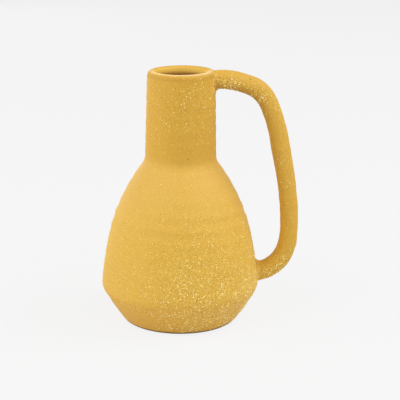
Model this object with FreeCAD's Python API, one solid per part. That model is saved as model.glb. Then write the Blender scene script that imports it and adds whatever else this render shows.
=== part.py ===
import FreeCAD, Part
import math
import os

# A one-handled jug of glazed fired clay, made in thrown sections that are luted together.
# Millimetres, +Z up. The origin is on the vessel's axis, in the plane that it stands on.
# The handle is on the +X side, and its line lies in the plane Y = 0.

# Outside of the wall
# Each corner is where two runs of the outline would meet if the clay weren't rounded there.
foot_radius = 56.0
belly_radius = 78.6
belly_rise = 33.2
shoulder_length = 127.9
neck_root_radius = 35.0
neck_length = 88.9
neck_taper = 2.1

# Belly curve: it leaves the widest line and reaches the neck at these leans from upright
# Each pull is how far the curve is drawn along its lean.
belly_lean = 5.3
belly_pull = 48.6
shoulder_lean = 36.7
shoulder_pull = 52.5

# Wall, and the roundings of its corners
wall = 7.9
foot_round = 6.0
belly_round = 17.0
neck_root_round = 16.8
lip_outer_share = 0.56
lip_inner_share = 0.3
ring_inner_round = 1.5
throat_length = 30.0

# Floor slab, and how far the coil in the corner above it reaches over the floor and up the wall
floor_recess = 2.0
floor_thickness = 7.0
coil_reach = 5.8

# Luted joints of the wall's sections: a layer of slip lies between a rim and the next section
# The neck's joint rises towards the axis, so that the neck sits on a bevelled rim.
slip = 0.8
belly_seam_drop = 6.2
neck_seam_rise = 8.0
neck_seam_slope = 4.0

# Handle bar: its line turns at corners, from the lip to a point behind the belly's wall
# The shares give each corner's place across the reach and up the height of the line.
handle_bar_radius = 9.0
handle_lip_rise = 0.5
handle_standoff = 30.5
handle_low_height = 40.0
handle_out_share = (0.456, 0.738, 0.8585, 1.0, 0.984, 0.504)
handle_up_share = (1.0, 0.949, 0.7855, 0.388, 0.081, 0.0)
bend_share = 0.47

# Clay worked into the corner round each end of the handle
neck_luting_round = 4.0
belly_luting_round = 4.0

# How far a cutting shape runs past what it cuts, and the gap that counts as touching
overrun = 5.0
touch = 0.001

# Levels and radii that follow from the sizes
neck_root_height = belly_rise + shoulder_length
neck_top_radius = neck_root_radius - neck_taper
height = neck_root_height + neck_length
lip_outer_round = wall * lip_outer_share
lip_inner_round = wall * lip_inner_share
mouth_radius = neck_top_radius - wall
lip_crest_radius = neck_top_radius - lip_outer_round
throat_bottom = height - lip_inner_round - throat_length
floor_top = floor_recess + floor_thickness
handle_reach = belly_radius + handle_standoff
handle_top_height = height + handle_lip_rise - handle_bar_radius

origin = FreeCAD.Vector(0, 0, 0)
outward = FreeCAD.Vector(1, 0, 0)
upward = FreeCAD.Vector(0, 0, 1)


def at(radius, level):
    """Point of the profile plane."""
    return FreeCAD.Vector(radius, 0, level)


def leaning(lean):
    """Direction of a line that goes up and leans towards the axis by this many degrees."""
    turn = math.radians(lean)
    return at(-math.sin(turn), math.cos(turn))


def start_of(item):
    """Where an edge starts, or a lone point."""
    return item.valueAt(item.FirstParameter) if isinstance(item, Part.Shape) else item


def end_of(item):
    """Where an edge ends, or a lone point."""
    return item.valueAt(item.LastParameter) if isinstance(item, Part.Shape) else item


def on_line(a, b, level):
    """Point at a level on the line through two points."""
    return a + (b - a) * ((level - a.z) / (b.z - a.z))


def reaching_arc(before, corner, after, reach):
    """Arc that rounds a corner, tangent to both of its runs at this distance from it."""
    back = (before - corner).normalize()
    ahead = (after - corner).normalize()
    half = back.getAngle(ahead) / 2
    middle = corner + (back + ahead).normalize() * (reach / math.cos(half) - reach * math.tan(half))
    return Part.Arc(corner + back * reach, middle, corner + ahead * reach).toShape()


def corner_arc(before, corner, after, radius):
    """Arc of this radius that rounds a corner, tangent to both of its runs."""
    half = (before - corner).getAngle(after - corner) / 2
    return reaching_arc(before, corner, after, radius / math.tan(half))


def moved_in(points, distance):
    """A run of points moved sideways towards the axis, with its corners kept."""
    runs = []
    for a, b in zip(points, points[1:]):
        along = (b - a).normalize()
        runs.append((a + at(-along.z, along.x) * distance, along))
    moved = [runs[0][0]]
    for (a, ahead), (b, onward) in zip(runs, runs[1:]):
        gap = b - a
        turn = ahead.x * onward.z - ahead.z * onward.x
        moved.append(a + ahead * ((gap.x * onward.z - gap.z * onward.x) / turn))
    return moved


def curved_side(points, first_round, second_round):
    """Arc, belly curve and arc along one side of the wall, up or down."""
    before, first, first_pull, second_pull, second, after = points
    start = corner_arc(before, first, first_pull, first_round)
    end = corner_arc(second_pull, second, after, second_round)
    curve = Part.BezierCurve()
    curve.setPoles([end_of(start), first_pull, second_pull, start_of(end)])
    return [start, curve.toShape(), end]


def face_round(items):
    """Face inside edges and points given in order, with straight lines between them."""
    edges = []
    for item, following in zip(items, items[1:] + items[:1]):
        if isinstance(item, Part.Shape):
            edges.append(item)
        here, there = end_of(item), start_of(following)
        if here.distanceToPoint(there) > touch:
            edges.append(Part.makeLine(here, there))
    return Part.Face(Part.Wire(edges))


def turned(face):
    """Solid that a face of the profile plane makes when it turns once about the axis."""
    return face.revolve(origin, upward, 360)


def handle_side(face):
    """The part of such a solid that lies on the handle's side of the vessel."""
    turn = 120
    start = face.rotated(origin, upward, -turn / 2)
    return start.revolve(origin, upward, turn)


# Corners of the outside, from the foot to the lip, and those of the inside
foot = at(foot_radius, 0)
widest = at(belly_radius, belly_rise)
root = at(neck_root_radius, neck_root_height)
lip = at(neck_top_radius, height)
outside = [
    foot,
    widest,
    widest + leaning(belly_lean) * belly_pull,
    root - leaning(shoulder_lean) * shoulder_pull,
    root,
    lip,
]
inside = moved_in(outside, wall)
throat = at(mouth_radius, throat_bottom)
mouth = at(mouth_radius, height)
ring_inner = on_line(inside[0], inside[1], 0)

foot_arc = corner_arc(origin, foot, widest, foot_round)
outer_side = curved_side(outside, belly_round, neck_root_round)
lip_arc = corner_arc(root, lip, mouth, lip_outer_round)


def wall_face():
    """Profile of the whole wall, from the foot ring to the lip and down the inside."""
    mouth_arc = corner_arc(lip, mouth, throat, lip_inner_round)
    inner_side = curved_side([throat] + inside[::-1], neck_root_round + wall, belly_round - wall)
    ring_arc = corner_arc(inside[1], ring_inner, foot, ring_inner_round)
    return face_round([ring_arc, foot_arc, *outer_side, lip_arc, mouth_arc, throat, *inner_side])


def joint_line(level, radius, slope):
    """A joint's two ends, outside the wall and on the axis, through a place on the wall."""
    far = belly_radius + overrun
    return at(far, level - (far - radius) * slope), at(0, level + radius * slope)


def wall_sections():
    """The wall's sections and the slip between them, by name, cut at the joints."""
    low = belly_rise - belly_seam_drop
    high = neck_root_height + neck_seam_rise
    slope = neck_seam_slope / wall
    lines = [
        joint_line(-overrun, 0, 0),
        joint_line(low, 0, 0),
        joint_line(low + slip, 0, 0),
        joint_line(high, neck_root_radius, slope),
        joint_line(high + slip, neck_root_radius, slope),
        joint_line(height + overrun, 0, 0),
    ]
    names = ["foot_wall", "belly_seam_slip", "belly_wall", "neck_seam_slip", "neck_tube"]
    whole = wall_face()
    sections = {}
    for name, (out_low, in_low), (out_high, in_high) in zip(names, lines, lines[1:]):
        band = face_round([out_low, out_high, in_high, in_low])
        sections[name] = turned(whole.common(band).Faces[0])
    return sections


def base_disc():
    """Floor slab, set in the foot ring above the standing plane."""
    low = on_line(inside[0], inside[1], floor_recess)
    high = on_line(inside[0], inside[1], floor_top)
    return turned(face_round([at(0, floor_recess), low, high, at(0, floor_top)]))


def base_coil():
    """Coil of clay pressed into the inner corner of the floor and the wall."""
    corner = on_line(inside[0], inside[1], floor_top)
    hollow = reaching_arc(at(0, floor_top), corner, inside[1], coil_reach)
    return turned(face_round([corner, hollow]))


def handle_line():
    """Corners of the handle's line, from the lip's crest out and down to the belly."""
    span = handle_top_height - handle_low_height
    corners = [at(lip_crest_radius, handle_top_height)]
    for out_share, up_share in zip(handle_out_share, handle_up_share):
        corners.append(at(handle_reach * out_share, handle_low_height + span * up_share))
    return corners


def handle_bar():
    """Round bar along the handle's line, with both ends run into the vessel."""
    corners = handle_line()
    edges = []
    here = corners[0]
    for before, corner, after in zip(corners, corners[1:], corners[2:]):
        shorter = min((before - corner).Length, (after - corner).Length)
        arc = reaching_arc(before, corner, after, bend_share * shorter)
        edges += [Part.makeLine(here, start_of(arc)), arc]
        here = end_of(arc)
    edges.append(Part.makeLine(here, corners[-1]))
    section = Part.Wire(Part.makeCircle(handle_bar_radius, corners[0], outward))
    return Part.Wire(edges).makePipeShell([section], True, False)


def worked_corner(wall_solid, bar, radius):
    """Clay worked into the corner all round the place where a bar leaves a wall."""
    joined = wall_solid.fuse(bar)
    shells = [wall_solid.Shells[0], bar.Shells[0]]
    corner = []
    for edge in joined.Edges:
        middle = Part.Vertex(edge.valueAt((edge.FirstParameter + edge.LastParameter) / 2))
        if all(shell.distToShape(middle)[0] < touch for shell in shells):
            corner.append(edge)
    return joined.makeFillet(radius, corner).cut([joined], touch)


def neck_luting(bar):
    """Luting under the handle's upper end, up to where the lip starts to round."""
    top = height + handle_lip_rise + neck_luting_round + overrun
    neck_face = face_round([at(0, root.z), root, on_line(root, lip, top), at(0, top)])
    ring = worked_corner(handle_side(neck_face), bar, neck_luting_round)
    reach = neck_top_radius + neck_luting_round + overrun
    above = Part.makeCylinder(reach, top - height + lip_outer_round, at(0, height - lip_outer_round))
    return ring.cut(above)


def belly_luting(bar):
    """Luting all round the handle's lower end."""
    belly_edges = outer_side[:2]
    top = at(0, end_of(belly_edges[-1]).z)
    belly_face = face_round([origin, foot_arc, *belly_edges, top])
    return worked_corner(handle_side(belly_face), bar, belly_luting_round)


def nodes():
    """Every piece by name."""
    vessel = turned(face_round([origin, foot_arc, *outer_side, lip_arc, at(0, height)]))
    bar = handle_bar()
    pieces = {"base_disc": base_disc(), "base_coil": base_coil()}
    pieces.update(wall_sections())
    pieces["handle"] = bar.cut(vessel)
    pieces["handle_neck_luting"] = neck_luting(bar)
    pieces["handle_belly_luting"] = belly_luting(bar)
    return pieces


os.makedirs("parts", exist_ok=True)
for name, piece in nodes().items():
    solids = piece.Solids
    print(name, len(solids), "solid, volume", round(sum(s.Volume for s in solids)), piece.isValid())
    solids[0].exportStep("parts/" + name + ".step")
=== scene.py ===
import math

import bmesh
import bpy
import numpy as np
from mathutils import Matrix, Vector
from mathutils.bvhtree import BVHTree


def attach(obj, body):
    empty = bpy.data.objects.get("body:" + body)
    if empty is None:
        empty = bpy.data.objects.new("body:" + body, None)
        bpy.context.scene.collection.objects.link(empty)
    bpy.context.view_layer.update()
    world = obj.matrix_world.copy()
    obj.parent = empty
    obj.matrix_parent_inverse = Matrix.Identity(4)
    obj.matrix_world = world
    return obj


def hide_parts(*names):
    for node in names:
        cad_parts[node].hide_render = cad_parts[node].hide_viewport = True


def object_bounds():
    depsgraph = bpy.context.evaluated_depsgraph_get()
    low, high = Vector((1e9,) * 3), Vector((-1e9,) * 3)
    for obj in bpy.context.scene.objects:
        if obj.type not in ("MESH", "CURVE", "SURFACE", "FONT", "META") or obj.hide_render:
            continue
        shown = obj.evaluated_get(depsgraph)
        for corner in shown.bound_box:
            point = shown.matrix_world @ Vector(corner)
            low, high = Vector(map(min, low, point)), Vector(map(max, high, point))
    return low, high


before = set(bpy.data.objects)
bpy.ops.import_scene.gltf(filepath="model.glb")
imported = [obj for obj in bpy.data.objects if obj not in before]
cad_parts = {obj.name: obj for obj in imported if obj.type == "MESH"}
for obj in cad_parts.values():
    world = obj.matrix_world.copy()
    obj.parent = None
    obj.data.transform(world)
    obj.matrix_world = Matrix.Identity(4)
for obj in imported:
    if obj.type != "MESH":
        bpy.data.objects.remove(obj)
cad_low, cad_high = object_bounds()

# A one-handled jug of thrown stoneware under a matt sandy glaze.
# Sizes are in millimetres, as in the construction, and become metres when a mesh is made.
# The handle is on the +X side, and the front is the -Y side.
MM = 0.001

# Outside of the wall: corners where two runs of the outline would meet if nothing were rounded
FOOT_RADIUS = 56.0
BELLY_RADIUS = 78.6
BELLY_RISE = 33.2
SHOULDER_LENGTH = 127.9
NECK_ROOT_RADIUS = 35.0
NECK_LENGTH = 88.9
NECK_TAPER = 2.1
BELLY_LEAN, BELLY_PULL = 5.3, 48.6
SHOULDER_LEAN, SHOULDER_PULL = 36.7, 52.5

# Wall and its roundings
WALL = 7.9
FOOT_ROUND = 6.0
BELLY_ROUND = 17.0
NECK_ROOT_ROUND = 16.8
LIP_OUTER_ROUND = 0.56 * WALL
LIP_INNER_ROUND = 0.3 * WALL
RING_INNER_ROUND = 1.5
THROAT_LENGTH = 30.0

# Floor of the inside
FLOOR_LOW, FLOOR_TOP = 2.0, 9.0
COIL_REACH = 5.8

# Handle: the shares give the places of its line's corners across the reach and up the height
BAR_RADIUS = 9.0
HANDLE_LIP_RISE = 0.5
HANDLE_STANDOFF = 30.5
HANDLE_LOW = 40.0
HANDLE_OUT_SHARES = (0.456, 0.738, 0.8585, 1.0, 0.984, 0.504)
HANDLE_UP_SHARES = (1.0, 0.949, 0.7855, 0.388, 0.081, 0.0)
BEND_SHARE = 0.47
LUTING_ROUND = 4.0

# Levels and radii that follow
ROOT_HEIGHT = BELLY_RISE + SHOULDER_LENGTH
HEIGHT = ROOT_HEIGHT + NECK_LENGTH
LIP_RADIUS = NECK_ROOT_RADIUS - NECK_TAPER
CREST_RADIUS = LIP_RADIUS - LIP_OUTER_ROUND
MOUTH_RADIUS = LIP_RADIUS - WALL
HANDLE_REACH = BELLY_RADIUS + HANDLE_STANDOFF
HANDLE_TOP = HEIGHT + HANDLE_LIP_RISE - BAR_RADIUS

# Marks of the hands, each as how far it stands out, where its middle is and how far it spreads.
# Those of the wall go by level, and those of the handle by share of its length from the lip.
WALL_SWELLINGS = ((0.3, HEIGHT, 2.5), (0.2, 155, 9), (-0.3, 73, 26), (-0.6, 28, 7), (0.2, 14, 6))
WALL_SWELLINGS_TO_HANDLE = ((0.35, HEIGHT, 3), (-0.1, 10, 6))
INSIDE_SWELLINGS = ((0.3, HEIGHT, 1.5),)
INSIDE_SWELLINGS_TO_HANDLE = ((0.35, HEIGHT, 2),)
RING_STRENGTHS = ((0.7, 108, 20), (0.3, 208, 20))
BAR_SWELLINGS = (
    (0.35, 0.05, 0.05), (0.45, 0.18, 0.05), (0.35, 0.4, 0.07), (-0.35, 0.71, 0.035),
    (0.5, 0.82, 0.045), (0.45, 0.95, 0.07), (-0.6, 0, 0.02))
BAR_WANDER = ((0.22, 0.7, 0.03), (-0.28, 0.21, 0.04), (-0.33, 0.575, 0.03))
BAR_SAG, SAG_FROM, SAG_FULL = 1.15, 0.77, 0.85

# Random lumps of the handle, and random patches of thicker and thinner sand on the wall and the handle:
# height or strength, size in millimetres, and seed
BAR_LUMPS = ((0.1, 24, 5), (0.06, 8, 6), (0.03, 4, 7))
SAND_PATCHES_ON_WALL = ((0.2, 11, 11), (0.22, 4, 13))
SAND_PATCHES_ON_HANDLE = ((0.2, 10, 12), (0.2, 4, 14))

# Distances between points along the wall's outside, its inside, its foot ring and the handle
OUTSIDE_STEP, INSIDE_STEP, RING_STEP, BAR_STEP = 1.45, 3.0, 2.0, 0.9

# Points round the wall, the floor slab and the handle
ROUND_WALL, ROUND_SLAB, ROUND_BAR = 320, 160, 96

# Points of one mesh nearer to each other than this, in metres, are one point
SAME_PLACE = 1e-6


# Lines of the profile

def away(start, end):
    """Unit step from one point to another."""
    step = np.subtract(end, start)
    return step / np.linalg.norm(step)


def leaning(degrees):
    """Unit step that goes up and leans towards the axis."""
    turn = math.radians(degrees)
    return np.array([-math.sin(turn), math.cos(turn)])


def bend(before, corner, after, reach, steps=24):
    """Points of the arc that rounds a corner and meets its runs at this distance from it."""
    back, ahead = away(corner, before), away(corner, after)
    half = math.acos(float(np.clip(back @ ahead, -1, 1))) / 2
    centre = corner + away((0, 0), back + ahead) * reach / math.cos(half)
    first, last = corner + back * reach - centre, corner + ahead * reach - centre
    sweep = math.pi - 2 * half
    shares = np.linspace(0, 1, steps)[:, None]
    turned = np.sin((1 - shares) * sweep) * first + np.sin(shares * sweep) * last
    return centre + turned / math.sin(sweep)


def rounded(before, corner, after, radius, steps=24):
    """Points of the arc of this radius that rounds a corner."""
    half = math.acos(float(np.clip(away(corner, before) @ away(corner, after), -1, 1))) / 2
    return bend(before, corner, after, radius / math.tan(half), steps)


def drawn_curve(first, second, third, fourth, steps=120):
    """Points of the belly's curve, pulled towards its two inner points."""
    t = np.linspace(0, 1, steps)[:, None]
    left = 1 - t
    return left ** 3 * first + 3 * t * left ** 2 * second + 3 * t ** 2 * left * third + t ** 3 * fourth


def moved_in(points, distance):
    """A run of points moved sideways towards the axis, with its corners kept."""
    runs = []
    for a, b in zip(points, points[1:]):
        along = away(a, b)
        runs.append((a + np.array([-along[1], along[0]]) * distance, along))
    moved = [runs[0][0]]
    for (a, ahead), (b, onward) in zip(runs, runs[1:]):
        gap = b - a
        turn = ahead[0] * onward[1] - ahead[1] * onward[0]
        moved.append(a + ahead * ((gap[0] * onward[1] - gap[1] * onward[0]) / turn))
    return moved


def on_line(a, b, level):
    """Point at a level on the line through two points."""
    return a + (b - a) * ((level - a[1]) / (b[1] - a[1]))


def side_of_wall(points, first_round, second_round):
    """Arc, belly curve and arc along one side of the wall."""
    before, first, first_pull, second_pull, second, after = points
    start = rounded(before, first, first_pull, first_round)
    end = rounded(second_pull, second, after, second_round)
    return np.vstack([start, drawn_curve(start[-1], first_pull, second_pull, end[0])[1:-1], end])


foot = np.array([FOOT_RADIUS, 0.0])
widest = np.array([BELLY_RADIUS, BELLY_RISE])
root = np.array([NECK_ROOT_RADIUS, ROOT_HEIGHT])
lip = np.array([LIP_RADIUS, HEIGHT])
belly_pull = widest + leaning(BELLY_LEAN) * BELLY_PULL
shoulder_pull = root - leaning(SHOULDER_LEAN) * SHOULDER_PULL
outside = [foot, widest, belly_pull, shoulder_pull, root, lip]
inside = moved_in(outside, WALL)
mouth = np.array([MOUTH_RADIUS, HEIGHT])
throat = np.array([MOUTH_RADIUS, HEIGHT - LIP_INNER_ROUND - THROAT_LENGTH])
ring_inner = on_line(inside[0], inside[1], 0)
slab_low_edge = on_line(inside[0], inside[1], FLOOR_LOW)
slab_top_edge = on_line(inside[0], inside[1], FLOOR_TOP)

outer_line = np.vstack([
    rounded(np.zeros(2), foot, widest, FOOT_ROUND),
    side_of_wall(outside, BELLY_ROUND, NECK_ROOT_ROUND),
    rounded(root, lip, mouth, LIP_OUTER_ROUND),
])
inner_line = np.vstack([
    rounded(lip, mouth, throat, LIP_INNER_ROUND),
    throat,
    side_of_wall([throat] + inside[::-1], NECK_ROOT_ROUND + WALL, BELLY_ROUND - WALL),
    bend(inside[1], slab_top_edge, np.array([0.0, FLOOR_TOP]), COIL_REACH),
])
ring_line = np.vstack([
    slab_top_edge,
    slab_low_edge,
    rounded(inside[1], ring_inner, foot, RING_INNER_ROUND, 10),
])


def places_along(line):
    """Distance of each point of a line from its start."""
    return np.concatenate([[0], np.cumsum(np.linalg.norm(np.diff(line, axis=0), axis=1))])


def spaced(line, step):
    """Points at even steps along a line of points, with its two ends kept."""
    length = places_along(line)
    at = np.linspace(0, length[-1], max(2, round(length[-1] / step) + 1))
    return np.stack([np.interp(at, length, column) for column in line.T], axis=1)


# Unevenness of hand-made clay

def lumps(points, size, seed):
    """Smooth random heights of about unit spread, with swellings about this far apart."""
    random = np.random.default_rng(seed)
    waves = 24
    total = np.zeros(points.shape[:-1])
    for _ in range(waves):
        wave = random.normal(size=3)
        wave *= 2 * math.pi / (np.linalg.norm(wave) * size * random.uniform(0.8, 1.7))
        total += np.cos(points @ wave + random.uniform(0, 2 * math.pi))
    return total / math.sqrt(waves / 2)


def all_lumps(points, sorts):
    """Lumps of several sorts added up, each given as its height, its size and its seed."""
    return sum(height * lumps(points, size, seed) for height, size, seed in sorts)


def hump(value, centre, spread):
    """A smooth rise of one around a value."""
    return np.exp(-(((value - centre) / spread) ** 2))


def all_humps(value, rises):
    """Smooth rises added up, each given as its height, its centre and its spread."""
    return sum(height * hump(value, centre, spread) for height, centre, spread in rises)


def ramp(value, start, end):
    """Share that goes evenly from 0 at the start to 1 at the end, which may lie below the start."""
    return np.clip((value - start) / (end - start), 0, 1)


# Nodes

def add(tree, kind, inputs=None, **settings):
    """Adds a node with its settings, and sets or links its inputs.

    A node given as an input is linked from the first of its outputs in use.
    """
    node = tree.nodes.new(kind)
    for name, value in settings.items():
        setattr(node, name, value)
    for key, value in (inputs or {}).items():
        if isinstance(value, bpy.types.Node):
            value = next(output for output in value.outputs if output.enabled)
        if isinstance(value, bpy.types.NodeSocket):
            tree.links.new(value, node.inputs[key])
        else:
            node.inputs[key].default_value = value
    return node


def linear(hex_colour):
    """An sRGB hex colour as linear red, green, blue and alpha."""
    parts = [int(hex_colour[i:i + 2], 16) / 255 for i in (1, 3, 5)]
    return [p / 12.92 if p <= 0.04045 else ((p + 0.055) / 1.055) ** 2.4 for p in parts] + [1.0]


def per_metre(size):
    """Scale of a pattern whose marks are this many millimetres apart."""
    return 1 / (size * MM)


def new_material(name):
    """An empty material and its tree."""
    material = bpy.data.materials.new(name)
    material.use_nodes = True
    material.node_tree.nodes.clear()
    return material, material.node_tree


def new_tree(name, sockets, result):
    """An empty geometry tree with named inputs, each with its kind, and one output."""
    tree = bpy.data.node_groups.new(name, "GeometryNodeTree")
    for socket, kind in sockets.items():
        tree.interface.new_socket(name=socket, in_out="INPUT", socket_type="NodeSocket" + kind)
    tree.interface.new_socket(name=result, in_out="OUTPUT", socket_type="NodeSocketGeometry")
    return tree, add(tree, "NodeGroupInput").outputs


def made_by(tree, name, bed, values):
    """Plain mesh of what a tree makes from a bed mesh, with its inputs set to these values."""
    carrier = new_object(name, bed)
    modifier = carrier.modifiers.new(tree.name, "NODES")
    modifier.node_group = tree
    for item in tree.interface.items_tree:
        if item.in_out == "INPUT" and item.name in values:
            modifier[item.identifier] = values[item.name]
    bpy.context.view_layer.update()
    made = carrier.evaluated_get(bpy.context.evaluated_depsgraph_get())
    mesh = bpy.data.meshes.new_from_object(made)
    carrier.modifiers.remove(modifier)
    bpy.data.objects.remove(carrier)
    return mesh


# Meshes

def new_object(name, data):
    """An object in the scene."""
    made = bpy.data.objects.new(name, data)
    bpy.context.scene.collection.objects.link(made)
    return made


def ringed_mesh(name, rings, start, end):
    """Closed mesh over rings of points, ended by a pole at each end."""
    count, around = rings.shape[:2]
    points = [tuple(p) for p in rings.reshape(-1, 3) * MM]
    index = np.arange(count * around).reshape(count, around)
    below, above = index[:-1], index[1:]
    corners = [below, np.roll(below, -1, axis=1), np.roll(above, -1, axis=1), above]
    faces = np.stack(corners, axis=-1).reshape(-1, 4).tolist()
    for pole, ring in ((start, index[0]), (end, index[-1])):
        points.append(tuple(np.asarray(pole) * MM))
        faces += [[a, b, len(points) - 1] for a, b in zip(ring.tolist(), np.roll(ring, -1).tolist())]
    mesh = bpy.data.meshes.new(name)
    mesh.from_pydata(points, [], faces)
    return finished_piece(name, mesh)


def finished_piece(name, mesh):
    """Object of a closed mesh: doubles merged, faces outward and smooth, and kept in the object's box."""
    shape = bmesh.new()
    shape.from_mesh(mesh)
    bmesh.ops.remove_doubles(shape, verts=shape.verts, dist=SAME_PLACE)
    bmesh.ops.recalc_face_normals(shape, faces=shape.faces)
    for vertex in shape.verts:
        for axis in range(3):
            vertex.co[axis] = min(max(vertex.co[axis], cad_low[axis]), cad_high[axis])
    for face in shape.faces:
        face.smooth = True
    shape.to_mesh(mesh)
    shape.free()
    return new_object(name, mesh)


def rows(points, name):
    """What each point of a mesh keeps under this name, as rows of three."""
    flat = np.zeros(len(points) * 3)
    points.foreach_get(name, flat)
    return flat.reshape(-1, 3)


def outward_of(line):
    """Unit steps out of the clay along a profile line."""
    tangent = np.gradient(line, axis=0)
    outward = np.stack([tangent[:, 1], -tangent[:, 0]], axis=1)
    return outward / np.linalg.norm(outward, axis=1)[:, None]


# Wall

def wall_profile():
    """Points of the wall's profile in order, each with its outward step and what the wheel tree reads.

    rings and lumps are shares of the throwing marks. even is a swelling all round, in millimetres,
    and handle_side is one that is added towards the handle and taken away on the other side.
    The last three parts are painted shade under the lip and down the inside, a painted highlight on the lip's
    crest, and painted light just inside the lip; all are kept for its material.
    """
    outer, inner, ring = (
        spaced(outer_line, OUTSIDE_STEP), spaced(inner_line, INSIDE_STEP), spaced(ring_line, RING_STEP))
    out_level, in_level = outer[:, 1], inner[:, 1]
    out_share = ramp(out_level, 0, 5) ** 2 * (1 - 0.7 * hump(out_level, HEIGHT, 6))
    in_share = ramp(in_level, FLOOR_TOP, FLOOR_TOP + 9) * ramp(in_level, HEIGHT, HEIGHT - 12)
    parts = {
        "rings": (out_share * (0.3 + all_humps(out_level, RING_STRENGTHS)), 2.2 * in_share),
        "lumps": (out_share * (1 - 0.5 * hump(out_level, 190, 40)), 1.5 * in_share),
        "even": (all_humps(out_level, WALL_SWELLINGS), all_humps(in_level, INSIDE_SWELLINGS)),
        "handle_side": (
            all_humps(out_level, WALL_SWELLINGS_TO_HANDLE),
            all_humps(in_level, INSIDE_SWELLINGS_TO_HANDLE)),
        # Painted shade just under the lip outside, and down the inside of the throat
        "brown_shade": (
            0.2 * hump(out_level, HEIGHT - 3.4, 2),
            ramp(in_level, HEIGHT - 4.8, HEIGHT - 7.6)),
        # Painted highlight along the crest of the lip
        "crest_highlight": (hump(out_level, HEIGHT, 0.5), hump(in_level, HEIGHT, 0.6)),
        # Painted light on the inside just under the lip, none outside
        "lip_inner_light": (
            0 * out_level,
            ramp(in_level, HEIGHT - 0.8, HEIGHT - 1.8) * ramp(in_level, HEIGHT - 5.8, HEIGHT - 4.3)),
    }
    line = np.concatenate([outer, inner, ring])
    outward = np.concatenate([outward_of(outer), outward_of(inner), outward_of(ring)])
    mesh = bpy.data.meshes.new("profile")
    mesh.from_pydata([(r * MM, 0, z * MM) for r, z in line], [], [])
    step = mesh.attributes.new("outward", "FLOAT_VECTOR", "POINT")
    step.data.foreach_set("vector", np.stack([outward[:, 0], 0 * line[:, 0], outward[:, 1]], axis=1).ravel())
    for name, (outside_value, inside_value) in parts.items():
        kept = mesh.attributes.new(name, "FLOAT", "POINT")
        kept.data.foreach_set("value", np.concatenate([outside_value, inside_value, 0 * ring[:, 0]]))
    return mesh


# Sums of the wheel's tree, each with its name, what is done, and the values or names it is done to.
# The grid has one column for each place round the wall and one row for each point of the profile.
PLACE_SUMS = (
    ("rows", "ADD", "count", 1.0),
    ("columns", "ADD", "Points round", 1.0),
    ("nudged", "ADD", "index", 0.5),
    ("in columns", "DIVIDE", "nudged", "rows"),
    ("column", "FLOOR", "in columns"),
    ("passed", "MULTIPLY", "column", "rows"),
    ("row", "SUBTRACT", "index", "passed"),
    ("place", "MODULO", "row", "count"),
    ("share", "DIVIDE", "column", "Points round"),
    ("turn", "MULTIPLY", "share", 2 * math.pi),
    ("towards handle", "COSINE", "turn"),
    ("sideways", "SINE", "turn"),
    ("lump scale", "DIVIDE", 1.0, "Lump size"),
)

# Throwing rings climb as a spiral and lie among soft lumps. Both stand on swellings that are even all
# round or grow towards the handle.
CLAY_SUMS = (
    ("climbed", "SUBTRACT", "level", "Ring start"),
    ("rings passed", "DIVIDE", "climbed", "Ring gap"),
    ("spiral", "ADD", "rings passed", "share"),
    ("phase", "MULTIPLY", "spiral", 2 * math.pi),
    ("wave", "SINE", "phase"),
    ("ring wave", "MULTIPLY", "wave", "strength"),
    ("ring height", "MULTIPLY", "Ring height", "rings"),
    ("ringed", "MULTIPLY", "ring wave", "ring height"),
    ("centred", "SUBTRACT", "lump", 0.5),
    ("both ways", "MULTIPLY", "centred", 2.0),
    ("lump height", "MULTIPLY", "Lump height", "lumps"),
    ("lumpy", "MULTIPLY", "both ways", "lump height"),
    ("thrown", "ADD", "ringed", "lumpy"),
    ("leaned", "MULTIPLY", "handle_side", "towards handle"),
    ("swollen", "ADD", "even", "leaned"),
    ("in metres", "MULTIPLY", "swollen", MM),
    ("height", "ADD", "thrown", "in metres"),
    # The painted highlight on the lip's crest is kept at the front only
    ("crest_highlight", "MULTIPLY", "crest_highlight", "front"),
)


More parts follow.
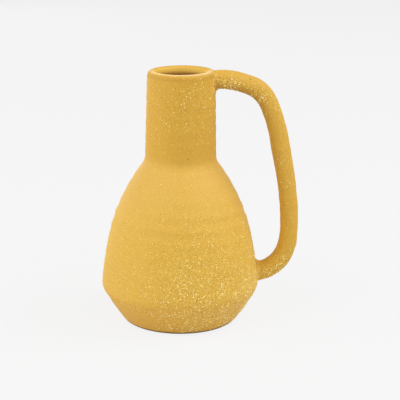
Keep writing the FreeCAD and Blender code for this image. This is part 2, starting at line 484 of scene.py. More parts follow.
def wheel_tree():
    """Turns a profile about the axis, as the wheel does, with the marks that hands leave on it."""
    tree, given = new_tree("thrown_on_the_wheel", {
        "Profile": "Geometry", "Points round": "Int", "Ring start": "Float", "Ring gap": "Float",
        "Ring height": "Float", "Lump size": "Float", "Lump height": "Float", "Glaze": "Material"}, "Wall")

    known = {socket.name: socket for socket in given}
    known["count"] = add(tree, "GeometryNodeAttributeDomainSize", {"Geometry": given["Profile"]})
    known["index"] = add(tree, "GeometryNodeInputIndex")

    for name, done, *values in PLACE_SUMS:
        inputs = {key: known.get(value, value) for key, value in enumerate(values)}
        known[name] = add(tree, "ShaderNodeMath", inputs, operation=done)
    grid = add(tree, "GeometryNodeMeshGrid", {"Vertices X": known["columns"], "Vertices Y": known["rows"]})

    # What the profile keeps at that row's point, among it the painted shade, painted light and painted
    # highlight for the material
    colour_layers = ("brown_shade", "lip_inner_light", "crest_highlight")
    for name in ("position", "outward", "rings", "lumps", "even", "handle_side", *colour_layers):
        kind = "FLOAT_VECTOR" if name in ("position", "outward") else "FLOAT"
        value = add(tree, "GeometryNodeInputNamedAttribute", {"Name": name}, data_type=kind)
        sampled = {"Geometry": given["Profile"], "Value": value, "Index": known["place"]}
        known[name] = add(tree, "GeometryNodeSampleIndex", sampled, data_type=kind)

    # Its place and its outward step, turned to that place round the wall
    turned = {}
    for name in ("outward", "position"):
        parts = add(tree, "ShaderNodeSeparateXYZ", {0: known[name]}).outputs
        flat = {2: parts["Z"]}
        for axis, way in enumerate(("towards handle", "sideways")):
            flat[axis] = add(tree, "ShaderNodeMath", {0: parts["X"], 1: known[way]}, operation="MULTIPLY")
        turned[name] = add(tree, "ShaderNodeCombineXYZ", flat)
    known["level"] = parts["Z"]

    # The rings come and go in bands up the wall, and the painted highlight on the crest of the lip lies at
    # the front only
    bands = {"W": known["level"], "Scale": per_metre(24)}
    bands = add(tree, "ShaderNodeTexNoise", bands, noise_dimensions="1D")
    bands = {"Value": bands, "From Min": 0.35, "From Max": 0.65, "To Min": 0.6}
    known["strength"] = add(tree, "ShaderNodeMapRange", bands)
    lump = {"Vector": turned["position"], "Scale": known["lump scale"], "Detail": 3.0}
    known["lump"] = add(tree, "ShaderNodeTexNoise", lump)
    front = {"Value": known["sideways"], "From Min": 0.3, "From Max": -0.5}
    known["front"] = add(tree, "ShaderNodeMapRange", front)
    for name, done, *values in CLAY_SUMS:
        inputs = {key: known.get(value, value) for key, value in enumerate(values)}
        known[name] = add(tree, "ShaderNodeMath", inputs, operation=done)
    raised = {0: turned["outward"], "Scale": known["height"]}
    raised = add(tree, "ShaderNodeVectorMath", raised, operation="SCALE")
    placed = add(tree, "ShaderNodeVectorMath", {0: turned["position"], 1: raised}, operation="ADD")

    # The mesh keeps the painted shade, light and highlight for its material
    painted_grid = grid
    for name in colour_layers:
        coat = {"Geometry": painted_grid, "Name": name, "Value": known[name]}
        painted_grid = add(tree, "GeometryNodeStoreNamedAttribute", coat, data_type="FLOAT", domain="POINT")
    formed = add(tree, "GeometryNodeSetPosition", {"Geometry": painted_grid, "Position": placed})
    joined = add(tree, "GeometryNodeMergeByDistance", {"Geometry": formed, "Distance": 0.01 * MM})
    real = add(tree, "GeometryNodeRealizeInstances", {0: joined})
    glazed = add(tree, "GeometryNodeSetMaterial", {"Geometry": real, "Material": given["Glaze"]})
    add(tree, "NodeGroupOutput", {0: glazed})
    return tree


def glazed_wall(coat):
    """The wall in one coat of glaze, from the foot ring over the lip and down to the floor."""
    mesh = made_by(wheel_tree(), "profile", wall_profile(), {
        "Points round": ROUND_WALL, "Ring start": 10.4 * MM, "Ring gap": 12.8 * MM,
        "Ring height": 0.36 * MM, "Lump size": 38 * MM, "Lump height": 0.5 * MM, "Glaze": coat})
    return finished_piece("glazed_wall", mesh)


# Floor slab

def finger_spiral(radius, angle):
    """Relief that a finger leaves in the middle of the floor, in turns 8 mm apart."""
    return 0.3 * np.sin(2 * math.pi * radius / 8 + angle) * ramp(radius, 0, 8)


def turning_lines(radius, angle):
    """Relief of the turned underside: lines 2.9 mm apart on one shallow swell."""
    lines = 0.1 * np.sin(2 * math.pi * radius / 2.9 + angle)
    return lines + 0.25 * np.cos(2 * math.pi * radius / 31)


def slab_face(radii, level, relief):
    """Rings of one face of the slab, which is flat for the last 6 mm to its edge."""
    turn = np.linspace(0, 2 * math.pi, ROUND_SLAB, endpoint=False)
    radius, angle = radii[:, None], turn[None, :]
    height = level + relief(radius, angle) * ramp(radius, radii.max(), radii.max() - 6)
    return np.stack([radius * np.cos(angle), radius * np.sin(angle), height], axis=-1)


def floor_slab():
    """The slab in the foot: finger spiral on its glazed top, turning lines on its bare underside."""
    tuck, pole_ring = 0.3, 1.5
    top_radii = np.linspace(pole_ring, slab_top_edge[0] + tuck, 46)
    low_radii = np.linspace(slab_low_edge[0] + tuck, pole_ring, 60)
    top = slab_face(top_radii, FLOOR_TOP, finger_spiral)
    low = slab_face(low_radii, FLOOR_LOW, turning_lines)
    return ringed_mesh("floor_slab", np.concatenate([top, low]), top[0].mean(axis=0), low[-1].mean(axis=0))


# Handle

def handle_line():
    """Points of the handle's line, from the lip's crest out and down to behind the belly's wall.

    The pulled bar wanders from its plain line by a fraction of a millimetre, and its low end sags.
    """
    corners = [np.array([CREST_RADIUS, HANDLE_TOP])]
    for out, up in zip(HANDLE_OUT_SHARES, HANDLE_UP_SHARES):
        corners.append(np.array([HANDLE_REACH * out, HANDLE_LOW + (HANDLE_TOP - HANDLE_LOW) * up]))
    points = [corners[0]]
    for before, corner, after in zip(corners, corners[1:], corners[2:]):
        shorter = min(np.linalg.norm(corner - before), np.linalg.norm(after - corner))
        points.append(bend(before, corner, after, BEND_SHARE * shorter))
    points.append(corners[-1])
    line = spaced(np.vstack(points), 0.5)
    share = np.linspace(0, 1, len(line))
    sag = BAR_SAG * (0.5 - 0.5 * np.cos(math.pi * ramp(share, SAG_FROM, SAG_FULL)))
    return line - outward_of(line) * (sag + all_humps(share, BAR_WANDER))[:, None]


bar_line = handle_line()
bar_places = places_along(bar_line)
bar_length = bar_places[-1]


def bar_axis(place):
    """Points of the handle's line at these places along it."""
    x, z = (np.interp(place, bar_places, column) for column in bar_line.T)
    return np.stack([x, np.zeros_like(x), z], axis=-1)


def bar_out(place, turn):
    """Steps from the handle's line to its surface: 0 is the loop's outer side, a quarter turn is +Y."""
    along = bar_axis(np.minimum(place + 0.5, bar_length)) - bar_axis(np.maximum(place - 0.5, 0))
    along /= np.linalg.norm(along, axis=-1, keepdims=True)
    normal = np.stack([-along[..., 2], np.zeros_like(along[..., 0]), along[..., 0]], axis=-1)
    across = np.array([0.0, 1.0, 0.0])
    return np.cos(turn)[..., None] * normal + np.sin(turn)[..., None] * across


def bar_thickness(place):
    """Radius of the pulled handle: fuller at its ends, in its bends and half way down.

    It is thinner above the low bend, and also over the lip, so that its top comes out of the crest.
    """
    return BAR_RADIUS + all_humps(place / bar_length, BAR_SWELLINGS)


def bar_surface(place, turn):
    """Points on the handle's surface."""
    return bar_axis(place) + bar_out(place, turn) * bar_thickness(place)[:, None]


def loop_side(points):
    """How far points of the handle lie to the outer side of its loop, from -1 to 1."""
    flat = points[:, [0, 2]]
    nearest = np.array([np.linalg.norm(bar_line - point, axis=1).argmin() for point in flat])
    return ((bar_line[nearest] - flat) * outward_of(bar_line)[nearest]).sum(axis=1) / BAR_RADIUS


wall_samples = spaced(outer_line, 0.4)


def nearest_on_wall(points):
    """Nearest point of the wall's outside to each point, and the distance, less than zero inside."""
    radius = np.hypot(points[..., 0], points[..., 1])
    flat = np.stack([radius, points[..., 2]], axis=-1)
    gaps = np.linalg.norm(flat[..., None, :] - wall_samples, axis=-1)
    found = wall_samples[gaps.argmin(axis=-1)]
    out = points[..., :2] / radius[..., None]
    nearest = np.concatenate([out * found[..., :1], found[..., 1:]], axis=-1)
    wall_radius = np.interp(points[..., 2], wall_samples[:, 1], wall_samples[:, 0])
    within = (points[..., 2] < HEIGHT) & (radius < wall_radius)
    return nearest, np.where(within, -gaps.min(axis=-1), gaps.min(axis=-1))


def ball_places(turn, ball, inside_place, outside_place):
    """Places along the handle where balls that lie on it just touch the wall, and the balls' centres.

    Each place is found by halving the stretch between one inside the wall and one clear of it.
    """
    touching = 1.02
    low, high = np.full(turn.shape, inside_place), np.full(turn.shape, outside_place)
    for _ in range(30):
        middle = (low + high) / 2
        centre = bar_axis(middle) + bar_out(middle, turn) * (bar_thickness(middle) + ball)[:, None]
        short = nearest_on_wall(centre)[1] < ball * touching
        low, high = np.where(short, middle, low), np.where(short, high, middle)
    place = (low + high) / 2
    return place, bar_axis(place) + bar_out(place, turn) * (bar_thickness(place) + ball)[:, None]


def worked_joint(surface, turn, ball, inside_place, outside_place):
    """Rings of clay worked into the corner of bar and wall, as if balls of these radii rolled round it.

    The first ring is tucked under the wall's surface and the last one lies on the bar.
    The places of the last ring along the handle's line come with them.
    """
    tuck_under, tuck_out = 0.55, 0.9
    place, centre = ball_places(turn, ball, inside_place, outside_place)
    wall_point, _ = nearest_on_wall(centre)
    lift = np.array([np.array(surface.find_nearest(Vector(p * MM))[0]) / MM - p for p in wall_point])
    to_wall, to_bar = wall_point - centre, bar_surface(place, turn) - centre
    wall_reach = np.linalg.norm(to_wall, axis=1, keepdims=True)
    bar_reach = np.linalg.norm(to_bar, axis=1, keepdims=True)
    to_wall, to_bar = to_wall / wall_reach, to_bar / bar_reach
    sweep = np.arccos(np.clip((to_wall * to_bar).sum(axis=1, keepdims=True), -1, 0.9999))
    spread = to_wall * np.cos(sweep) - to_bar
    spread /= np.maximum(np.linalg.norm(spread, axis=1, keepdims=True), 1e-6)
    rings = [wall_point + to_wall * tuck_under + spread * tuck_out + lift]
    for share in np.linspace(0, 1, 9):
        step = (np.sin((1 - share) * sweep) * to_wall + np.sin(share * sweep) * to_bar) / np.sin(sweep)
        rings.append(centre + step * (wall_reach * (1 - share) + bar_reach * share) + lift * (1 - share))
    return np.stack(rings), place


def handle_piece(body):
    """The pulled handle with both of its worked joints, closed inside the wall."""
    turn = np.linspace(0, 2 * math.pi, ROUND_BAR, endpoint=False)
    corners, polygons = body.data.vertices, body.data.polygons
    surface = BVHTree.FromPolygons([v.co for v in corners], [f.vertices for f in polygons])

    # The clay is worked wider above the upper end, and wider below the lower one
    outer_side = np.clip(np.cos(turn), 0, 1)
    upper_balls = LUTING_ROUND * (1 + outer_side)
    lower_balls = LUTING_ROUND * (1.35 - 0.8 * outer_side)
    upper, upper_place = worked_joint(surface, turn, upper_balls, 0.0, 25.0)
    lower, lower_place = worked_joint(surface, turn, lower_balls, bar_length - 4, bar_length - 60)

    # Rings ease from each joint's slanted edge to the bar's square section over 7 mm or more
    first, last = upper_place.max() + 7, lower_place.min() - 7
    easing = np.linspace(0, 1, 9)[1:-1]
    ring_places = [upper_place + (first - upper_place) * share for share in easing]
    ring_places += [np.full(ROUND_BAR, p) for p in np.linspace(first, last, round((last - first) / BAR_STEP))]
    ring_places += [last + (lower_place - last) * share for share in easing]
    tube = np.stack([bar_surface(p, turn) for p in ring_places])
    rings = np.concatenate([upper, tube, lower[::-1]])

    # The bar's lumps fade out towards the ends of the joints
    all_places = [upper_place] * len(upper) + ring_places + [lower_place] * len(lower)
    outward = np.stack([bar_out(p, turn) for p in all_places])
    shares = [np.linspace(0, 1, len(upper)), np.ones(len(tube)), np.linspace(1, 0, len(lower))]
    uneven = all_lumps(rings, BAR_LUMPS) * np.concatenate(shares)[:, None]
    rings = rings + outward * uneven[..., None]

    # Each end is closed by a smaller ring and a pole in the clay of the wall
    upper_core = np.array([CREST_RADIUS + 1, 0, HANDLE_TOP])
    lower_core = np.array([BELLY_RADIUS - 5.5, 0, lower[0, :, 2].mean()])
    cap_share = 0.6
    upper_cap = upper_core + (rings[0] - upper_core) * cap_share
    lower_cap = lower_core + (rings[-1] - lower_core) * cap_share
    rings = np.concatenate([upper_cap[None], rings, lower_cap[None]])
    return ringed_mesh("handle_bar", rings, upper_core, lower_core)


# How thickly the sand lies on the glaze, as a share of the thickest place.
# The wall's shares go by level, away from the handle, at the front and back, and on the handle's side.
SAND_LEVELS = (0, 12, 30, 50, 75, 105, 135, 160, 180, 205, 235, 250)
FAR_SIDE_SHARES = (0.02, 0.03, 0.08, 0.17, 0.15, 0.06, 0.03, 0.03, 0.07, 0.14, 0.1, 0.02)
FRONT_SHARES = (0.35, 0.41, 0.44, 0.43, 0.39, 0.23, 0.1, 0.06, 0.09, 0.26, 0.29, 0.05)
HANDLE_SIDE_SHARES = (0.66, 0.68, 0.66, 0.56, 0.37, 0.19, 0.09, 0.07, 0.1, 0.18, 0.23, 0.04)
INSIDE_SAND_SHARE = 0.02
MOST_SAND = 1.6


def is_inside(points):
    """Which points lie on the inner face of the wall."""
    outer_radius = np.interp(points[:, 2], outer_line[:, 1], outer_line[:, 0])
    return np.hypot(points[:, 0], points[:, 1]) < outer_radius - WALL / 2


def room_for_grains(points):
    """Share of the grains that stay near the sides of the object's box, where they would be cut flat."""
    low_corner, high_corner = np.array(cad_low) / MM, np.array(cad_high) / MM
    return ramp(np.minimum(points - low_corner, high_corner - points).min(axis=1), 0, 0.15)


def sand_on_wall(points):
    """Share of sand on the wall: most low on the handle's side, little on the other side."""
    level = points[:, 2]
    side = points[:, 0] / np.maximum(np.hypot(points[:, 0], points[:, 1]), 1e-6)
    tables = (FAR_SIDE_SHARES, FRONT_SHARES, HANDLE_SIDE_SHARES)
    far, front, near = (np.interp(level, SAND_LEVELS, table) for table in tables)
    on_far_side = front + (far - front) * np.abs(side) ** 0.8
    on_handle_side = front + (near - front) * np.abs(side) ** 0.9
    share = np.where(side < 0, on_far_side, on_handle_side)
    outside_share = np.where(is_inside(points), INSIDE_SAND_SHARE, 1.0) * ramp(level, 1.5, 3.5)
    return share * outside_share * np.exp(all_lumps(points, SAND_PATCHES_ON_WALL) - 0.05)


def sand_on_handle(points, upness):
    """Share of sand on the handle: most near the lip, on the elbow and in the low bend, least on top.

    upness says how far the surface looks up at each point, from -1 to 1.
    """
    x, level = points[:, 0], points[:, 2]
    share = 0.08 + 0.72 * hump(x, 45, 16) * hump(level, 240, 18)
    share += 0.4 * hump(x, 82, 18) * hump(level, 225, 18)
    share += 0.5 * hump(x, 92, 26) * hump(level, 50, 16) + 0.1 * hump(level, 150, 30)
    below_top = 1 - 0.8 * np.clip(1.4 * upness, 0, 1)
    return share * below_top * np.exp(all_lumps(points, SAND_PATCHES_ON_HANDLE) - 0.05)


def keep_share(piece, name, share, most=1.0):
    """Keeps a share at a piece's points, for its grains and its glaze."""
    kept = piece.data.attributes.new(name, "FLOAT", "POINT")
    kept.data.foreach_set("value", np.clip(share, 0, most).astype(np.float32))


# Materials

def coloured(tree, ground, colour_layers):
    """A ground colour under layers that lie one over another, each with how much of it shows: coats of the
    material's own colour, and painted shade and light.
    """
    share, under, over = 0, 6, 7
    colour = linear(ground)
    for shown, coat in colour_layers:
        layer = {share: shown, under: colour, over: linear(coat)}
        colour = add(tree, "ShaderNodeMix", layer, data_type="RGBA")
    return colour


def dots(tree, at, gap, draw, wanted, edge, core, fading="LINEAR"):
    """Round dots in the cells of a pattern with this gap whose random draw is less than wanted.

    A dot ends at its edge and is full inside its core, as shares of the gap from the cell's middle.
    """
    cells = add(tree, "ShaderNodeTexVoronoi", {"Vector": at, "Scale": per_metre(gap)})
    drawn = add(tree, "ShaderNodeSeparateColor", {0: cells.outputs["Color"]}).outputs[draw]
    taken = add(tree, "ShaderNodeMath", {0: drawn, 1: wanted}, operation="LESS_THAN")
    reach = {"Value": cells, "From Min": edge, "From Max": core}
    dot = add(tree, "ShaderNodeMapRange", reach, interpolation_type=fading)
    return add(tree, "ShaderNodeMath", {0: dot, 1: taken}, operation="MULTIPLY")


def matt_sandy_glaze():
    """Matt stoneware glaze over grogged clay, dipped and fired.

    The eye sees a dry, even mustard coat with a soft sheen, fine sand under it that
    roughens the light, paler specks where the sand is thick, and a few dark pinholes.
    The coat is wiped off the foot ring before firing, so the buff clay shows there.
    """
    material, tree = new_material("matt_sandy_stoneware_glaze")
    at = add(tree, "ShaderNodeTexCoord").outputs["Object"]
    level = add(tree, "ShaderNodeSeparateXYZ", {0: at}).outputs["Z"]
    # Shares kept at the points: sand, and the painted shade, light and highlight
    kept = {}
    for name in ("sand_share", "neck_and_handle_shade", "lip_inner_light", "crest_highlight", "brown_shade"):
        kept[name] = add(tree, "ShaderNodeAttribute", attribute_name=name).outputs["Fac"]

    # Noise by the size of its marks in millimetres, with its detail and its roughness: clouds of thicker
    # coat, its mottling, fine sand under it, and the wandering edge where it is wiped off the foot ring.
    # The sand is 0.4 mm in truth and drawn 1 mm apart so that it shows.
    cloud, mottle, fine, wander = (
        add(tree, "ShaderNodeTexNoise", {
            "Vector": at, "Scale": per_metre(size), "Detail": detail, "Roughness": roughness})
        for size, detail, roughness in (
            (40, 2.0, 0.5), (3.2, 3.0, 0.6), (1.0, 1.0, 0.6), (6, 2.0, 0.5)))

    # Shares by noise or level: where each starts, where it is full, and its least and its most.
    # A painted sheen makes the shoulder paler, painted shade darkens the foot, which faces down, and a
    # painted contact shadow darkens the coat just above the foot ring.
    # Its wiped edge wanders by about half a millimetre. Sand makes the sheen rougher in spots.
    thick, mottled, shoulder_sheen, foot_shade, contact_shadow, edge, rough = (
        add(tree, "ShaderNodeMapRange", {
            "Value": value, "From Min": start, "From Max": full, "To Min": least, "To Max": most})
        for value, start, full, least, most in (
            (cloud, 0.3, 0.7, 0, 1),
            (mottle, 0.25, 0.75, 0, 0.3),
            # Painted sheen on the shoulder
            (level, 95 * MM, 150 * MM, 0, 1),
            # Painted shade on the foot, which faces down
            (level, 40 * MM, 34.5 * MM, 0, 0.5),
            # Painted contact shadow just above the foot ring
            (level, 3.7 * MM, 2.4 * MM, 0, 0.9),
            (wander, 0, 1, -0.1 * MM, 0.5 * MM),
            (fine, 0.3, 0.7, 0.58, 0.76)))
    over = add(tree, "ShaderNodeMath", {0: level, 1: edge}, operation="SUBTRACT")
    bare = add(tree, "ShaderNodeMapRange", {"Value": over, "From Min": 0.15 * MM, "From Max": -0.15 * MM})

    # Fine grains are pale and the dips between them dark, more so where the sand is thick
    gritty = add(tree, "ShaderNodeMath", {0: kept["sand_share"], 1: 3.7, 2: 0.65}, operation="MULTIPLY_ADD")
    above = add(tree, "ShaderNodeMath", {0: fine, 1: 0.5}, operation="SUBTRACT")
    grit = add(tree, "ShaderNodeMath", {0: above, 1: gritty}, operation="MULTIPLY")
    dips = add(tree, "ShaderNodeMath", {0: grit, 1: -1.0}, operation="MULTIPLY")

    # Paler specks of sand under the coat, in more of the cells of 1.5 mm where the sand is thick
    wanted = add(tree, "ShaderNodeMath", {0: kept["sand_share"], 1: 0.35}, operation="MULTIPLY")
    speck = dots(tree, at, 1.5, "Red", wanted, 0.4, 0.2, "SMOOTHSTEP")
    speck_share = add(tree, "ShaderNodeMath", {0: speck, 1: 0.75}, operation="MULTIPLY")

    # Pinholes about 1 mm wide, in one cell of 7 mm out of eight
    hole = dots(tree, at, 7.0, "Green", 0.13, 0.085, 0.05, "SMOOTHSTEP")

    # The colours from the lowest to the top one. Painted shade darkens the neck and the handle, painted light
    # the inside just under the lip and a painted highlight the lip's crest, and brown painted shade lies
    # under the lip, down the inside and in the handle's loop.
    colour = coloured(tree, "#E0B13E", (
        (thick, "#E3B644"),
        (mottled, "#D39F34"),
        (shoulder_sheen, "#E0B14A"),
        (kept["neck_and_handle_shade"], "#D6A432"),
        (foot_shade, "#E0A940"),
        (kept["lip_inner_light"], "#FCCE56"),
        (kept["crest_highlight"], "#FFDC96"),
        (kept["brown_shade"], "#8E570A"),
        (grit, "#FAD662"),
        (dips, "#865804"),
        (speck_share, "#FAD976"),
        (hole, "#5F4218"),
        (contact_shadow, "#664616"),
        (bare, "#C8A47C"),
    ))

    # Relief: sand, specks and mottling stand up, pinholes go in
    sandy = add(tree, "ShaderNodeMath", {0: fine, 1: mottle}, operation="ADD")
    raised = add(tree, "ShaderNodeMath", {0: speck, 1: 1.2, 2: sandy}, operation="MULTIPLY_ADD")
    pitted = add(tree, "ShaderNodeMath", {0: hole, 1: -2.5, 2: raised}, operation="MULTIPLY_ADD")
    relief = add(tree, "ShaderNodeBump", {"Strength": 0.55, "Distance": 0.22 * MM, "Height": pitted})
    surface = add(tree, "ShaderNodeBsdfPrincipled", {
        "Base Color": colour, "Roughness": rough, "IOR": 1.5, "Normal": relief})
    add(tree, "ShaderNodeOutputMaterial", {"Surface": surface})
    return material


def glazed_sand_grain():
    """Coarse grains of sand that stand proud of the coat.

    The glaze runs thin over them, so they show as straw-coloured points, some nearly white.
    """
    material, tree = new_material("glaze_over_sand_grain")
    tone = add(tree, "ShaderNodeAttribute", attribute_name="grain_tone").outputs["Fac"]
    whitest = {"Value": tone, "From Min": 0.97, "From Max": 0.99, "To Max": 0.6}
    white = add(tree, "ShaderNodeMapRange", whitest)
    at = add(tree, "ShaderNodeTexCoord").outputs["Object"]
    fine = add(tree, "ShaderNodeTexNoise", {"Vector": at, "Scale": per_metre(0.6), "Detail": 1.0})
    shade = add(tree, "ShaderNodeMapRange", {"Value": fine, "To Min": 0.0, "To Max": 0.15})
    colour = coloured(tree, "#FFDA70", ((tone, "#FFF2A4"), (white, "#FFEBDD"), (shade, "#DDB256")))
    surface = add(tree, "ShaderNodeBsdfPrincipled", {"Base Color": colour, "Roughness": 0.5, "IOR": 1.5})
    add(tree, "ShaderNodeOutputMaterial", {"Surface": surface})
    return material


def bare_grogged_clay():
    """Fired buff stoneware without glaze, turned on the wheel.

    The eye sees a dry chalky face, a little cloudy, with specks of darker grog.
    """
    material, tree = new_material("bare_buff_stoneware")
    at = add(tree, "ShaderNodeTexCoord").outputs["Object"]
    cloud = add(tree, "ShaderNodeTexNoise", {"Vector": at, "Scale": per_metre(14), "Detail": 3.0})
    grog = dots(tree, at, 1.6, "Red", 0.12, 0.32, 0.2)
    colour = coloured(tree, "#CDAA82", ((cloud, "#BE986F"), (grog, "#8A6A4A")))
    fine = add(tree, "ShaderNodeTexNoise", {"Vector": at, "Scale": per_metre(0.9), "Detail": 3.0})
    relief = add(tree, "ShaderNodeBump", {"Strength": 0.5, "Distance": 0.15 * MM, "Height": fine})
    surface = add(tree, "ShaderNodeBsdfPrincipled", {
        "Base Color": colour, "Roughness": 0.88, "IOR": 1.45, "Normal": relief})
    add(tree, "ShaderNodeOutputMaterial", {"Surface": surface})
    return material


# Grains of sand

# Sums of the grains' tree, as in the wheel's. Coarse grains keep even more than the fine sand does to
# the places where the sand is thick, and most grains are small. Each random draw has its own seed.
GRAIN_SUMS = (
    ("coarse", "POWER", "share", 1.4),
    ("per area", "MULTIPLY", "Grains per mm2", 1 / (MM * MM)),
    ("density", "MULTIPLY", "coarse", "per area"),
    ("rare", "POWER", "chance", 3.0),
    ("squash seed", "ADD", "Seed", 7.0),
    ("spin seed", "ADD", "Seed", 13.0),
    ("tone seed", "ADD", "Seed", 29.0),
)


def grain_tree():
    """Scatters squashed grains over a surface, by its share of sand."""
    tree, given = new_tree("sand_on_glaze", {
        "Surface": "Geometry", "Grains per mm2": "Float", "Smallest radius": "Float",
        "Largest radius": "Float", "Seed": "Int", "Grain": "Material"}, "Grains")
    share = add(tree, "GeometryNodeInputNamedAttribute", {"Name": "sand_share"}, data_type="FLOAT")
    chance = add(tree, "FunctionNodeRandomValue", {"Seed": given["Seed"]}, data_type="FLOAT")
    known = {socket.name: socket for socket in given}
    known.update(share=share, chance=chance)
    for name, done, *values in GRAIN_SUMS:
        inputs = {key: known.get(value, value) for key, value in enumerate(values)}
        known[name] = add(tree, "ShaderNodeMath", inputs, operation=done)
    spots = add(tree, "GeometryNodeDistributePointsOnFaces", {
        "Mesh": given["Surface"], "Density": known["density"], "Seed": given["Seed"]})

    # All grains are small where the sand is thin
    smallest, largest = given["Smallest radius"], given["Largest radius"]
    largest = add(tree, "ShaderNodeMapRange", {
        "Value": share, "From Max": 0.4, "To Min": smallest, "To Max": largest})
    radius = add(tree, "ShaderNodeMapRange", {"Value": known["rare"], "To Min": smallest, "To Max": largest})

    # Each one is squashed, sunk by half into the coat and turned at random
    squashed = {0: (0.8, 0.8, 0.55), 1: (1.2, 1.2, 0.85), "Seed": known["squash seed"]}
    squash = add(tree, "FunctionNodeRandomValue", squashed, data_type="FLOAT_VECTOR")
    size = add(tree, "ShaderNodeVectorMath", {0: squash, "Scale": radius}, operation="SCALE")
    spun = {0: (0, 0, 0), 1: (0, 0, 2 * math.pi), "Seed": known["spin seed"]}
    spin = add(tree, "FunctionNodeRandomValue", spun, data_type="FLOAT_VECTOR")
    turned = {0: spots.outputs["Rotation"], 1: spin}
    laid = add(tree, "FunctionNodeRotateRotation", turned, rotation_space="LOCAL")
    ball = add(tree, "GeometryNodeMeshIcoSphere", {"Radius": MM, "Subdivisions": 1})
    smooth = add(tree, "GeometryNodeSetShadeSmooth", {0: ball})
    put = add(tree, "GeometryNodeInstanceOnPoints", {
        "Points": spots, "Instance": smooth, "Rotation": laid, "Scale": size})

    # Its tone is drawn for its material
    tone = add(tree, "FunctionNodeRandomValue", {"Seed": known["tone seed"]}, data_type="FLOAT")
    toned = {"Geometry": put, "Name": "grain_tone", "Value": tone}
    toned = add(tree, "GeometryNodeStoreNamedAttribute", toned, data_type="FLOAT", domain="INSTANCE")
    real = add(tree, "GeometryNodeRealizeInstances", {0: toned})
    dressed = add(tree, "GeometryNodeSetMaterial", {"Geometry": real, "Material": given["Grain"]})
    add(tree, "NodeGroupOutput", {0: dressed})
    return tree


def grains_on(piece, name, tree, values):
    """The grains on a piece, as one mesh kept in the object's box."""
    mesh = made_by(tree, name, piece.data, values)
    kept = np.clip(rows(mesh.vertices, "co"), list(cad_low), list(cad_high))
    mesh.vertices.foreach_set("co", kept.ravel())
    return new_object(name, mesh)


# The pieces

glaze = matt_sandy_glaze()
grain = glazed_sand_grain()
bare_clay = bare_grogged_clay()

wall = glazed_wall(glaze)
slab = floor_slab()
handle = handle_piece(wall)
handle.data.materials.append(glaze)
slab.data.materials.append(glaze)
slab.data.materials.append(bare_clay)
for face in slab.data.polygons:
    face.material_index = int(face.center.z < (FLOOR_LOW + FLOOR_TOP) / 2 * MM)

# Painted shade darkens the wall from the root of the neck up, but not down the inside
on_wall = rows(wall.data.vertices, "co") / MM
down_inside = is_inside(on_wall) & (on_wall[:, 2] < HEIGHT - 2)
up_neck = ramp(on_wall[:, 2], ROOT_HEIGHT - 4, ROOT_HEIGHT + 10)
keep_share(wall, "sand_share", sand_on_wall(on_wall) * room_for_grains(on_wall), MOST_SAND)
keep_share(wall, "neck_and_handle_shade", np.where(down_inside, 0, up_neck))

# Painted shade darkens the handle away from its low end, and brown painted shade lies in its loop, most of
# all near the lip
on_handle = rows(handle.data.vertices, "co") / MM
upness = rows(handle.data.vertex_normals, "vector")[:, 2]
handle_sand = sand_on_handle(on_handle, upness)
in_loop = np.clip(-loop_side(on_handle), 0, 1)
loop_shade_by_level = np.interp(on_handle[:, 2], (75, 115, 195, 225), (0, 0.2, 0.26, 0.55))
keep_share(handle, "sand_share", handle_sand * room_for_grains(on_handle), MOST_SAND)
keep_share(handle, "neck_and_handle_shade", 0.75 * ramp(on_handle[:, 0] + on_handle[:, 2], 122, 146))
keep_share(handle, "brown_shade", in_loop * loop_shade_by_level)

scattered = grain_tree()
amounts = {"Grains per mm2": 0.46, "Smallest radius": 0.36, "Largest radius": 0.95, "Grain": grain}
wall_grains = grains_on(wall, "sand_on_wall", scattered, {**amounts, "Seed": 3})
handle_grains = grains_on(handle, "sand_on_handle", scattered, {**amounts, "Seed": 5})

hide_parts("foot_wall", "belly_seam_slip", "belly_wall", "neck_seam_slip", "neck_tube", "base_coil")
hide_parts("base_disc")
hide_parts("handle", "handle_neck_luting", "handle_belly_luting")
for piece in (wall, slab, handle, wall_grains, handle_grains):
    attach(piece, "root")


# Floor, light and camera

# Softboxes: degrees to the right of the camera, degrees up, and watts
SOFTBOXES = {
    "softbox_left": (270, 20, 22.5),
    "softbox_front_left": (315, 40, 24.2),
    "softbox_front_right": (45, 40, 16.5),
    "softbox_above_right": (90, 49, 33.8),
    "softbox_behind": (210, 5, 16.3),
}

# Width of a softbox, its distance, and the height of what it faces, in metres
SOFTBOX_WIDTH, SOFTBOX_DISTANCE, SOFTBOX_AIM = 1.6, 2.6, 0.12

# A long lens on a full-frame camera: where it is, where it points, and how far it leans to one side
FOCAL_LENGTH, SENSOR_WIDTH = 112.8, 36.0
CAMERA_PLACE, CAMERA_AIM, CAMERA_ROLL = (-33.8, -1196.5, 451.9), (19.4, 0, 120.5), 0.59


def seen_plainly(tree):
    """One where the camera sees the surroundings, also by gloss or through something clear, else zero."""
    path = add(tree, "ShaderNodeLightPath").outputs
    seen = {0: path["Is Camera Ray"], 1: path["Is Glossy Ray"]}
    seen = add(tree, "ShaderNodeMath", seen, operation="ADD")
    seen = {0: seen, 1: path["Is Transmission Ray"]}
    return add(tree, "ShaderNodeMath", seen, operation="ADD", use_clamp=True)


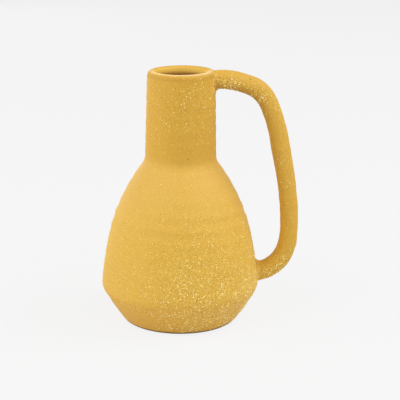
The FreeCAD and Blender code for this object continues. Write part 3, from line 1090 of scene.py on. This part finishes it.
def pale_floor():
    """A plain pale floor that keeps a faint shadow of the object."""
    mesh = bpy.data.meshes.new("floor")
    half = 8.0
    corners = [(-half, -half, 0), (half, -half, 0), (half, half, 0), (-half, half, 0)]
    mesh.from_pydata(corners, [], [(0, 1, 2, 3)])
    ground = new_object("floor", mesh)
    material, tree = new_material("pale_paper_sweep")
    plain_share = add(tree, "ShaderNodeMath", {0: seen_plainly(tree), 1: 0.9}, operation="MULTIPLY")
    paper = add(tree, "ShaderNodeBsdfDiffuse", {"Color": linear("#EDEDED")})
    plain = add(tree, "ShaderNodeEmission", {"Color": linear("#F7F7F7"), "Strength": 1.0})
    mixed = add(tree, "ShaderNodeMixShader", {0: plain_share, 1: paper, 2: plain})
    add(tree, "ShaderNodeOutputMaterial", {"Surface": mixed})
    mesh.materials.append(material)


def soft_lamp(name, side, rise, power):
    """A square softbox that faces the object, this many degrees to the right of the camera and up."""
    lamp = bpy.data.lights.new(name, "AREA")
    lamp.size = SOFTBOX_WIDTH
    lamp.energy = power
    turn, tilt = math.radians(side), math.radians(rise)
    out = Vector((math.sin(turn) * math.cos(tilt), -math.cos(turn) * math.cos(tilt), math.sin(tilt)))
    box = new_object(name, lamp)
    box.location = Vector((0, 0, SOFTBOX_AIM)) + out * SOFTBOX_DISTANCE
    box.rotation_euler = (-out).to_track_quat("-Z", "Y").to_euler()


def pale_surroundings(strength):
    """Even white light from all round, and a pale background."""
    world = bpy.data.worlds.new("studio")
    bpy.context.scene.world = world
    world.use_nodes = True
    tree = world.node_tree
    tree.nodes.clear()
    light = add(tree, "ShaderNodeBackground", {"Color": (1, 1, 1, 1), "Strength": strength})
    plain = add(tree, "ShaderNodeBackground", {"Color": linear("#F6F6F6"), "Strength": 1.0})
    mixed = add(tree, "ShaderNodeMixShader", {0: seen_plainly(tree), 1: light, 2: plain})
    add(tree, "ShaderNodeOutputWorld", {"Surface": mixed})


def set_camera():
    """The camera at the photo's angle, about 15 degrees above the level."""
    lens = bpy.data.cameras.new("camera")
    lens.lens = FOCAL_LENGTH
    lens.sensor_width = SENSOR_WIDTH
    camera = new_object("camera", lens)
    camera.location = Vector(CAMERA_PLACE) * MM
    aim = Vector(CAMERA_AIM) * MM
    level_view = (aim - camera.location).to_track_quat("-Z", "Y").to_matrix()
    camera.rotation_euler = (level_view @ Matrix.Rotation(math.radians(CAMERA_ROLL), 3, "Z")).to_euler()
    bpy.context.scene.camera = camera


pale_floor()
for softbox, (side, rise, power) in SOFTBOXES.items():
    soft_lamp(softbox, side, rise, power)
pale_surroundings(0.25)
set_camera()
bpy.context.scene.view_settings.view_transform = "Standard"

bpy.context.view_layer.update()
